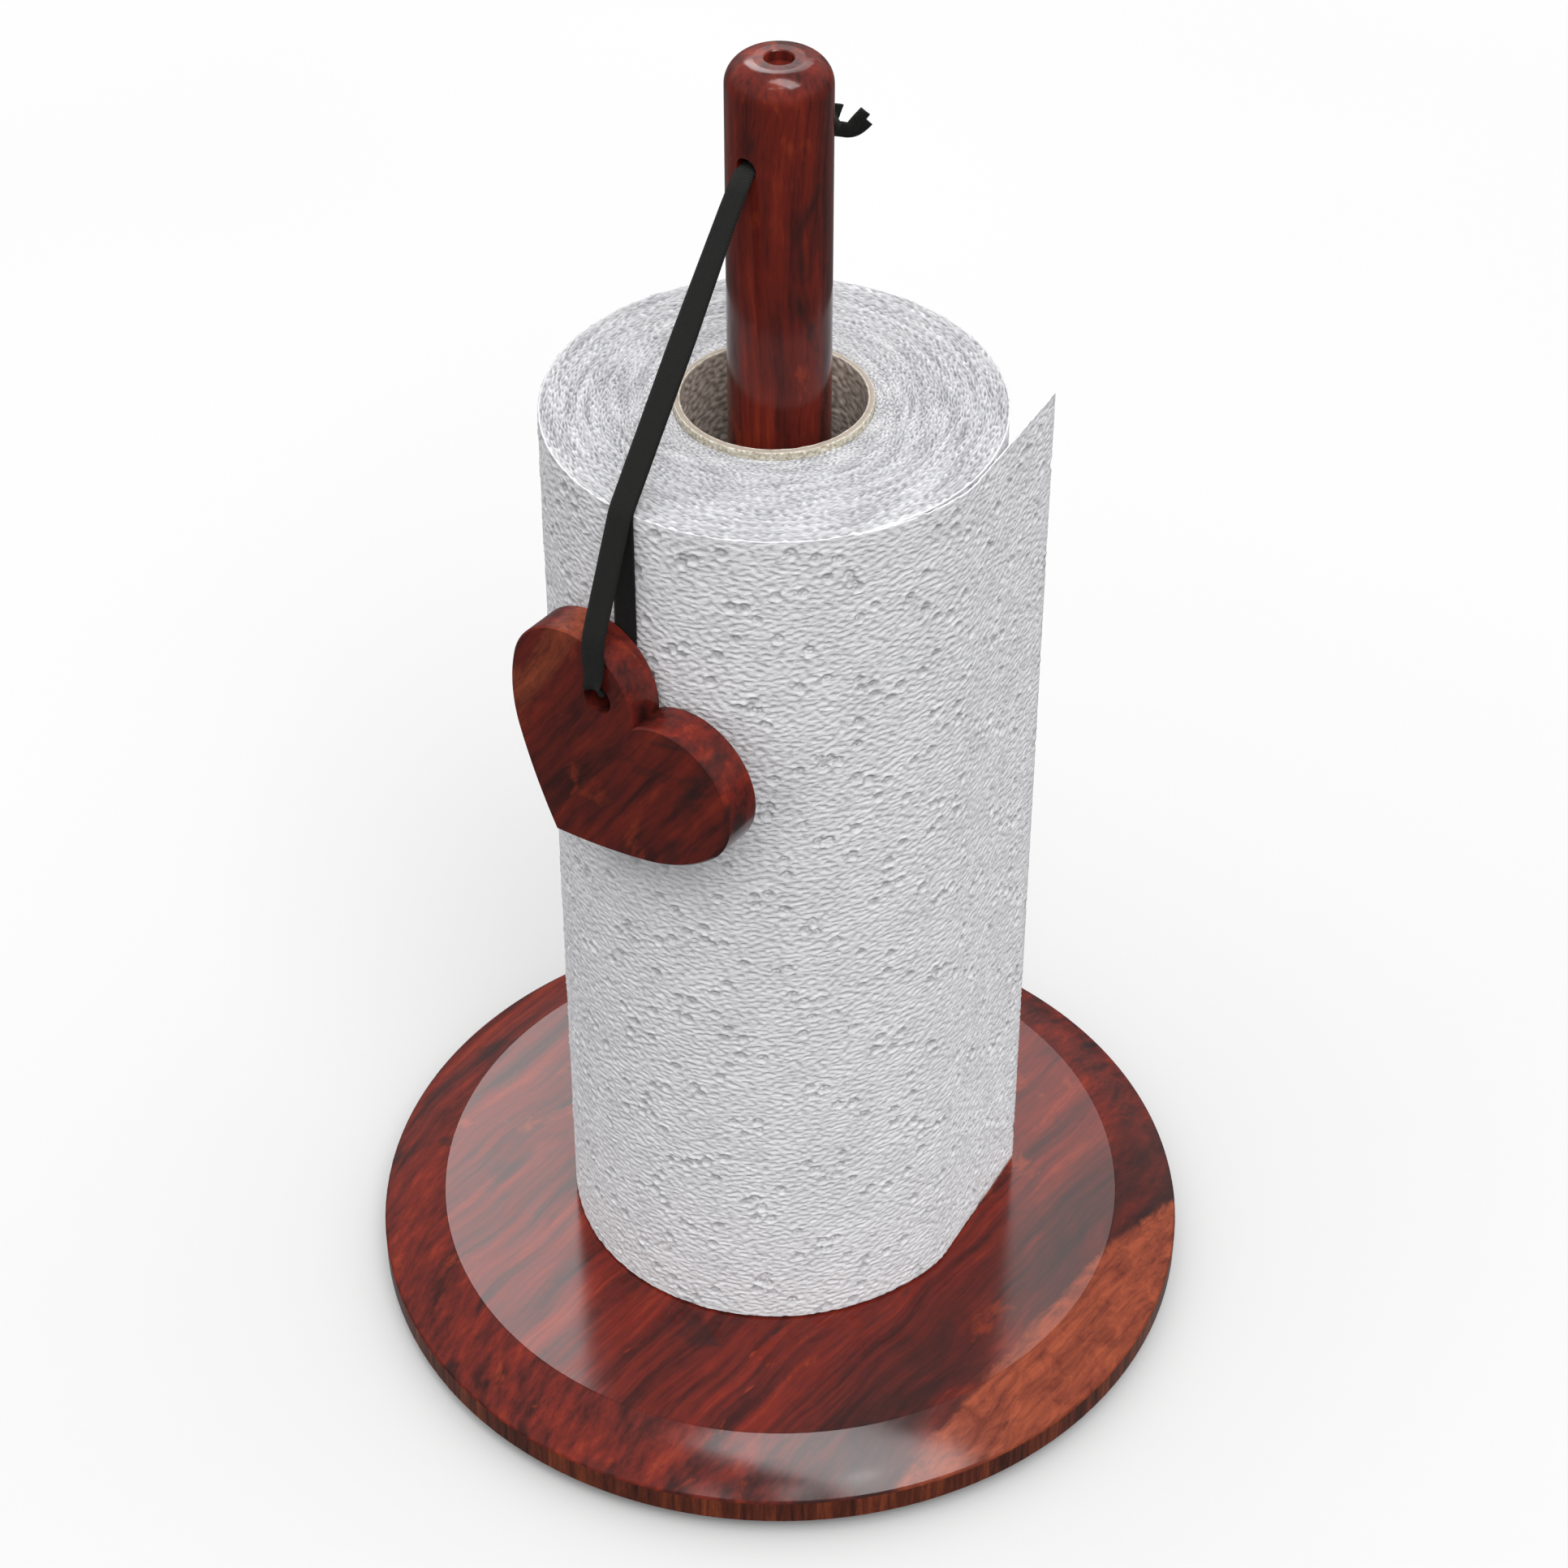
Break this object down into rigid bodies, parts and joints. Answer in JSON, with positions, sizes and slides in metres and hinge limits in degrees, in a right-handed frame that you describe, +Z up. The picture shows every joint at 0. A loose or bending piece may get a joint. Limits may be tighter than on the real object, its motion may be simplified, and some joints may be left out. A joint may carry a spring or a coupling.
{
  "type": "paper towel holder",
  "caption": "Upright wooden kitchen roll holder with a round base, a post and a heart on a doubled ribbon that rests against the loaded roll to stop it unwinding.",
  "frame": {"origin": "on the floor under the feet, on the post's axis", "axes": "+Z up along the post; +X to the right and +Y away, seen from the front; the heart hangs front left"},
  "size_m": [0.2, 0.2, 0.3337],
  "materials": {
    "base_wood": "gloss lacquer, rosewood",
    "post_wood": "gloss lacquer, rosewood",
    "heart_wood": "gloss lacquer, rosewood",
    "paper": "embossed crepe tissue",
    "cardboard": "raw board",
    "ribbon": "matt woven",
    "rubber": "matt",
    "steel": "zinc plated"
  },
  "bodies": {
    "holder": {"base_disc": "base_wood", "post": "post_wood", "post_screw": "steel", "washer": "steel", "foot_front_left": "rubber", "foot_front_right": "rubber", "foot_rear_right": "rubber", "foot_rear_left": "rubber", "foot_screws": "steel", "ribbon_in_post": "ribbon", "ribbon_mouth": "ribbon", "ribbon_knot": "ribbon", "ribbon_tail_upper": "ribbon", "ribbon_tail_lower": "ribbon"},
    "roll": {"cardboard_core": "cardboard", "paper_roll": "paper", "loose_sheet": "paper"},
    "strap_upper": {"ribbon_upper_back_ply": "ribbon", "ribbon_upper_front_ply": "ribbon"},
    "strap_lower": {"ribbon_fold": "ribbon", "ribbon_front_strand": "ribbon", "ribbon_back_strand": "ribbon", "ribbon_bight": "ribbon"},
    "heart": {"heart": "heart_wood"}
  },
  "joints": [
    {"name": "roll_spin", "type": "hinge", "parent": "holder", "child": "roll", "pos_m": [-0.00116, 0.00141, 0.135], "axis": [0, 0, 1], "continuous": true, "deforming": ["loose_sheet"]},
    {"name": "strap_lift", "type": "hinge", "parent": "holder", "child": "strap_upper", "pos_m": [-0.00708, -0.00919, 0.313], "axis": [-0.7923, 0.6101, 0], "range_deg": [0, 90], "deforming": ["ribbon_mouth"]},
    {"name": "strap_plumb", "type": "hinge", "parent": "strap_upper", "child": "strap_lower", "pos_m": [-0.03231, -0.03903, 0.25138], "axis": [-0.7923, 0.6101, 0], "range_deg": [-90, 0], "deforming": ["ribbon_fold"]},
    {"name": "heart_swing", "type": "hinge", "parent": "strap_lower", "child": "heart", "pos_m": [-0.03348, -0.04451, 0.211], "axis": [-0.6101, -0.7923, 0], "range_deg": [-10, 10]}
  ],
  "couplings": [
    {"joint": "strap_plumb", "follows": "strap_lift", "ratio": -1}
  ]
}
